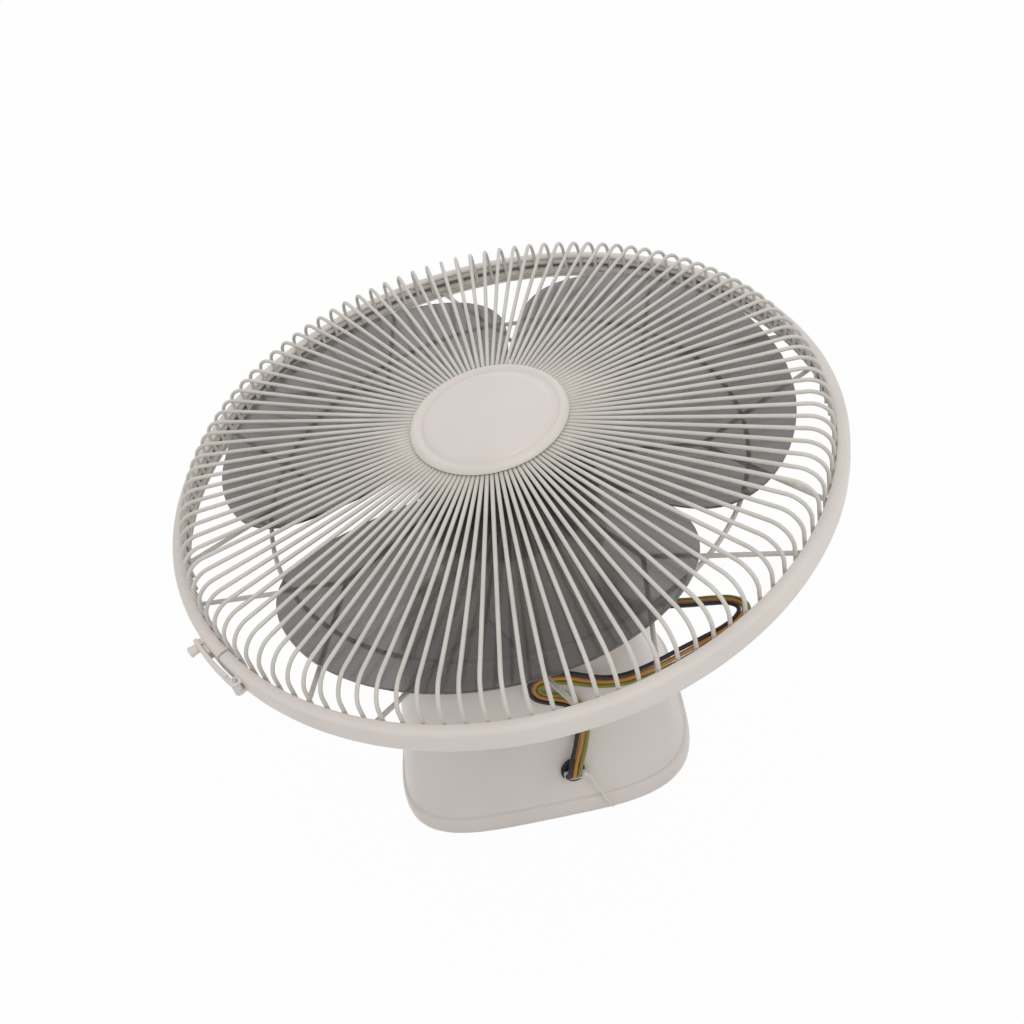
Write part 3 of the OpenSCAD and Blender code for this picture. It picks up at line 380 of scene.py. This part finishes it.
bmesh.ops.create_cone(drills, cap_ends=True, segments=64, radius1=lead_hole_radius,
                      radius2=lead_hole_radius, depth=0.06, matrix=lead_drill)
for side in (-1, 1):
    # the screw's hole and the wider seat of its head
    for radius, depth, centre in ((0.0023, 0.03, 0.108), (0.0042, 0.01, 0.1155)):
        spot = Matrix.Translation((side * centre, 0, side_screw_high))
        bmesh.ops.create_cone(drills, cap_ends=True, segments=40, radius1=radius, radius2=radius,
                              depth=depth, matrix=spot @ Matrix.Rotation(math.pi / 2, 4, "Y"))
drills = piece_from(drills, "drills", ivory)
holes = canopy.modifiers.new("holes", "BOOLEAN")
holes.object, holes.operation, holes.solver = drills, "DIFFERENCE", "EXACT"
holes.use_self = True


# makes what a piece's modifiers show its own mesh
def settle(piece, sharp=30):
    bpy.context.view_layer.update()
    shaped = bpy.data.meshes.new_from_object(piece.evaluated_get(bpy.context.evaluated_depsgraph_get()))
    piece.modifiers.clear()
    piece.data = shaped
    shaped.shade_smooth()
    shaped.set_sharp_from_angle(angle=math.radians(sharp))


settle(canopy)
bpy.data.objects.remove(drills)
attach(canopy, "ceiling_unit")
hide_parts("canopy")

# Neck: an ivory cup on the chassis with a fork for the guide pin, and the ball that rolls in it
# and carries the head. A rubber bush lines the hole in the wall where the leads come out.
rubber = moulded("bush_rubber", shade_of(38, 37, 37), 0.62, 0.1, 0.0005, 0.00003, 0.008)
dress(ivory, "neck_cup", "neck_ball")
dress(rubber, "lead_bush")

# Orbit drive: a geared motor in a plated can turns a nylon gear on the crank. Turned and ground
# steel, bronze bushes, a brass pinion.
ground_steel = metal("ground_steel", (0.66, 0.67, 0.69), 0.2, 0.0012, drift=0.05)
bronze = metal("sintered_bronze", (0.56, 0.4, 0.2), 0.5, 0.0009, drift=0.18)
brass = metal("turned_brass", (0.72, 0.56, 0.26), 0.3, 0.002)
can = metal("plated_can", (0.66, 0.67, 0.69), 0.34, 0.006)
nylon = moulded("white_nylon", shade_of(232, 229, 221), 0.44, 0.025, 0.0006, 0.00002, 0.012)
dress(ground_steel, "orbit_crank", "crank_collar", "stub_bearings", "guide_pin", "motor_shaft",
      "knob_spindle", "clip_pin", "drive_bar")
dress(plated_steel, "gear_clip", "stub_nut")
dress(bronze, "shaft_bush", "shaft_bearings")
dress(brass, "drive_pinion")
dress(can, "orbit_motor")
dress(nylon, "thrust_washer", "orbit_gear")

# Capacitor and terminal block: a black box potted in resin with two tags, and a nylon block with
# brass clamps where the mains leads end.
dress(moulded("capacitor_case", shade_of(48, 48, 50), 0.4, 0.08), "capacitor")
dress(nylon, "terminal_block")

# Motor: iron laminations with a copper winding at each end turn a cast rotor. A light cover with
# slits closes it over the neck and a black one with slots on the blade's side. That cover's
# near-black colour is partly its own and partly painted shade, for the shadow of the blades and badge in
# front of it.
black = moulded("black_plastic_and_painted_shade", shade_of(52, 52, 54), 0.42, 0.12, 0.0009, 0.00004, 0.02)
dress(ivory, "rear_cover")
dress(black, "front_cover")

stack, nodes, links, shader, place = new_finish("iron_laminations")
shader.inputs["Metallic"].default_value = 0.8
lean = nodes.new("ShaderNodeMapping")
head_tilt = math.radians(16)
lean.inputs["Location"].default_value = (-neck_from_middle, 0, 0)
lean.inputs["Rotation"].default_value = (-head_tilt, 0, 0)
links.new(place, lean.inputs["Vector"])
sheets = nodes.new("ShaderNodeTexWave")
sheets.bands_direction = "Z"
sheets.inputs["Scale"].default_value = 300
sheets.inputs["Distortion"].default_value = 0.3
links.new(lean.outputs[0], sheets.inputs["Vector"])
sheet_tones = two_tone(nodes, links, sheets.outputs[0], (0.09, 0.09, 0.1), (0.2, 0.2, 0.21))
links.new(sheet_tones, shader.inputs["Base Color"])
shader.inputs["Roughness"].default_value = 0.45
grain_on(nodes, links, shader, sheets.outputs[0], 0.00006)
dress(stack, "stator_core", "rotor_core")

wound, nodes, links, shader, place = new_finish("copper_winding")
turns = cloud(nodes, links, place, 0.0009, 2, (1, 1, 6))
copper_tones = two_tone(nodes, links, turns, (0.3, 0.1, 0.03), (0.62, 0.26, 0.09))
links.new(copper_tones, shader.inputs["Base Color"])
shader.inputs["Metallic"].default_value = 0.7
shader.inputs["Roughness"].default_value = 0.32
grain_on(nodes, links, shader, turns, 0.0002, 0.8)
dress(wound, "stator_winding")

# Pull knob: a white nylon knob on a steel spindle at the side of the motor; pulled out, it lets
# the head stand still while the crank turns.
dress(nylon, "orbit_knob")

# Guards: steel wire, welded and dipped in ivory powder coat. The rear one has a plate, forked arms,
# a hoop behind them and a rim, held by a nut on the motor's boss; the front one has bent spokes.
coat, nodes, links, shader, place = new_finish("wire_coat")
tone = cloud(nodes, links, place, 0.03, 3)
coat_tones = two_tone(nodes, links, tone, shade_of(208, 203, 195), shade_of(221, 216, 208))
links.new(coat_tones, shader.inputs["Base Color"])
uneven = cloud(nodes, links, place, 0.004, 3)
links.new(spread(nodes, links, uneven, 0.28, 0.42), shader.inputs["Roughness"])
grain_on(nodes, links, shader, cloud(nodes, links, place, 0.0012, 2), 0.00006)
shader.inputs["IOR"].default_value = 1.5
dress(coat, "rear_guard", "rear_hoop", "rear_arms", "front_guard")
dress(ivory, "guard_nut")

# Guard ring: an ivory plastic hoop with a rounded channel that clasps the rims of both guards. It
# is split beside the clip, with two ears for the lever's pin on one side and a catch on the other.
head_high = 0.164
head_place = Matrix.Translation((neck_from_middle, 0, head_high)) @ Matrix.Rotation(head_tilt, 4, "X")


# spins an outline of radius and distance along the fan's axis, in millimetres, about that axis
def spun(shape, outline, start=0, sweep=360, steps=144, shut=True):
    turn = Matrix.Rotation(math.radians(start), 4, "Z")
    corners = [shape.verts.new(turn @ Vector((r / 1000, 0, w / 1000))) for r, w in outline]
    edges = [shape.edges.new(pair) for pair in zip(corners, corners[1:] + corners[:1] * shut)]
    parts = corners + edges + ([shape.faces.new(corners)] if sweep < 360 else [])
    bmesh.ops.spin(shape, geom=parts, cent=(0, 0, 0), axis=(0, 0, 1), angle=math.radians(sweep),
                   steps=steps, use_merge=sweep == 360)
    bmesh.ops.remove_doubles(shape, verts=shape.verts[:], dist=0.000001)


# a small block with eased edges, at a radius, angle and height on the head, in millimetres
def block(shape, size, radius, angle, height):
    ease = 0.4
    turn = Matrix.Rotation(math.radians(angle), 4, "Z")
    where = turn @ Matrix.Translation((radius / 1000, 0, height / 1000))
    stretch = Matrix.Diagonal([s / 1000 for s in size] + [1])
    corners = bmesh.ops.create_cube(shape, size=1, matrix=where @ stretch)["verts"]
    bmesh.ops.bevel(shape, geom=list({e for v in corners for e in v.link_edges}), offset=ease / 1000,
                    segments=3, profile=0.5, affect="EDGES", material=-1)


# a round post with eased ends that stands along the fan's axis
def post(shape, radius, length, out, angle, height, ease=0.4):
    turn = Matrix.Rotation(math.radians(angle), 4, "Z")
    where = turn @ Matrix.Translation((out / 1000, 0, height / 1000))
    corners = bmesh.ops.create_cone(shape, cap_ends=True, segments=40, radius1=radius / 1000,
                                    radius2=radius / 1000, depth=length / 1000, matrix=where)["verts"]
    edges = {e for v in corners for e in v.link_edges}
    rims = [e for e in edges if any(len(f.verts) > 4 for f in e.link_faces)]
    bmesh.ops.bevel(shape, geom=rims, offset=ease / 1000, segments=3, profile=0.5, affect="EDGES",
                    material=-1)


# stands a shape on the head and makes it a piece that replaces a CAD node
def on_head(shape, name, material, body, node, sharp=35):
    bmesh.ops.recalc_face_normals(shape, faces=shape.faces[:])
    bmesh.ops.transform(shape, matrix=head_place, verts=shape.verts[:])
    piece = piece_from(shape, name, material, sharp)
    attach(piece, body)
    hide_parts(node)


ring = bmesh.new()
spun(ring, [(222, 94.6), (222.3, 95.6), (223.2, 96), (227.6, 96), (229, 95.5), (229.8, 94.3), (230, 92.6),
            (230, 83.8), (229.8, 81.2), (229, 79), (227.2, 77), (224.7, 75.6), (224.1, 75.9), (224.1, 76.7),
            (226.3, 78), (227.4, 79.6), (227.8, 81.6), (227.8, 92.8), (227.4, 93.6), (226.6, 93.8),
            (222.6, 93.8)], -144.75, 359.5, 300)
for height in (83.8, 92.2):
    post(ring, 3, 2.4, 233.4, -139.5, height)
    block(ring, (5.2, 6, 2.4), 230.9, -139.5, height)
block(ring, (3.4, 8, 6.8), 230.4, -149.1, 88)
on_head(ring, "clasp_ring", ivory, "head", "guard_ring")

# Clip: an ivory lever on a steel pin in the ring's ears. Its hook goes over the catch and draws the
# split shut; a round thumb knob stands on its end.
clip = bmesh.new()
spun(clip, [(232.3, 83.8), (232.7, 83.4), (234.5, 83.4), (234.9, 83.8), (234.9, 92.2), (234.5, 92.6),
            (232.7, 92.6), (232.3, 92.2)], -151.9, 10.3, 24)
spun(clip, [(232.3, 85.5), (232.5, 85.3), (234.7, 85.3), (234.9, 85.5), (234.9, 90.5), (234.7, 90.7),
            (232.5, 90.7), (232.3, 90.5)], -141.7, 2, 6)
post(clip, 2.9, 5.4, 233.4, -139.5, 88, 0.3)
block(clip, (2.2, 5.4, 6.8), 231.5, -151.2, 88)
stalk = [(0, 4), (3.1, 4), (3.3, 4.6), (3.1, 6), (3.2, 8.4), (3.6, 9.2), (3.6, 10), (3.2, 10.6),
         (2, 11), (0, 11)]
knob = bmesh.new()
spun(knob, stalk, 0, 360, 40, False)
knob_angle, knob_out, knob_high = math.radians(-151), 0.23, 0.088
knob_place = (Matrix.Rotation(knob_angle, 4, "Z") @ Matrix.Translation((knob_out, 0, knob_high))
              @ Matrix.Rotation(math.pi / 2, 4, "Y"))
bmesh.ops.transform(knob, matrix=knob_place, verts=knob.verts[:])
thumb = bpy.data.meshes.new("thumb")
knob.to_mesh(thumb)
knob.free()
clip.from_mesh(thumb)
bpy.data.meshes.remove(thumb)
on_head(clip, "clip_lever", ivory, "clip_lever", "guard_clip")

# Badge: a bare ivory disc with a rounded rim, a shallow groove inside it and a nearly flat face,
# screwed from behind through a plate that grips the spokes' inner ring.
badge = bmesh.new()
spun(badge, [(0, 127.6), (20, 127.5), (38, 127.2), (42.5, 126.9), (43.8, 126.4), (44.7, 125.6),
             (45.5, 125.1), (46.5, 125.1), (47.4, 125.7), (48.6, 126.4), (50, 126.5), (51.4, 126.2),
             (52.7, 125.4), (53.6, 124.3), (54, 123.2), (53.6, 122.7), (53, 122.6), (0, 122.6)],
     0, 360, 144, False)
for angle in (30, 150, 270):
    post(badge, 4, 2.9, 30, angle, 121.2, 0.3)
on_head(badge, "badge_disc", ivory, "head", "badge", 50)
dress(ivory, "badge_plate")

# Blades: three broad petals on one hub, moulded in smoke grey plastic that lets light through.
smoke, nodes, links, shader, place = new_finish("smoke_plastic")
tone = cloud(nodes, links, place, 0.06, 3)
smoke_tones = two_tone(nodes, links, tone, (0.225, 0.22, 0.212), (0.275, 0.27, 0.26))
links.new(smoke_tones, shader.inputs["Base Color"])
uneven = cloud(nodes, links, place, 0.01, 4)
links.new(spread(nodes, links, uneven, 0.06, 0.13), shader.inputs["Roughness"])
shader.inputs["Transmission Weight"].default_value = 0.72
shader.inputs["IOR"].default_value = 1.49
grain_on(nodes, links, shader, cloud(nodes, links, place, 0.004, 2), 0.00004, 0.3)
petal_root, petal_long, petal_high = 0.03, 0.174, 0.0965
widest = 58  # degrees from a petal's middle to its edge where it is widest
pitch_rise, crown, petal_thick = 0.020, 0.003, 0.002
fan = bmesh.new()
for turn in (19, 139, 259):
    petal = bmesh.ops.create_grid(fan, x_segments=60, y_segments=36, size=0.5)["verts"]
    for v in petal:
        out, wide = 1 - (0.5 - v.co.x) ** 2, v.co.y + 0.5
        radius = petal_root + petal_long * out
        rounded_tip = max(0, 1 - out ** 7) ** 0.4545
        waist = 0.7 + 0.3 * math.sin(math.pi / 2 * min(1, out / 0.35))
        half = max(3, widest * rounded_tip * waist)
        angle = math.radians((wide - 0.5) * 2 * half + turn)
        share = (wide - 0.5) * half / widest
        lift = pitch_rise * share * (1 - 0.35 * out) + crown * math.cos(math.pi * share)
        v.co = (radius * math.cos(angle), radius * math.sin(angle), petal_high + lift)
bmesh.ops.recalc_face_normals(fan, faces=fan.faces[:])
bmesh.ops.transform(fan, matrix=head_place, verts=fan.verts[:])
petals = piece_from(fan, "blade_petals", smoke, 50)
wall = petals.modifiers.new("thickness", "SOLIDIFY")
wall.thickness, wall.offset = petal_thick, 0
edge = petals.modifiers.new("edge", "BEVEL")
edge.width, edge.segments, edge.limit_method, edge.angle_limit = 0.0007, 3, "ANGLE", math.radians(60)
settle(petals, 50)
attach(petals, "rotor")
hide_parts("blade")

# hub of the same moulding: a hollow cup over the motor's boss with a core round the shaft
hub = bmesh.new()
spun(hub, [(4.05, 88), (9.5, 88), (10, 88.5), (10, 104), (31, 104), (31, 86), (34, 86), (34, 105.5),
           (33.5, 106.6), (32.5, 107), (4.05, 107)], 0, 360, 96)
on_head(hub, "blade_hub", smoke, "rotor", "blade")

# Spinner: the ivory cap nut that holds the blades on the shaft.
dress(ivory, "spinner")
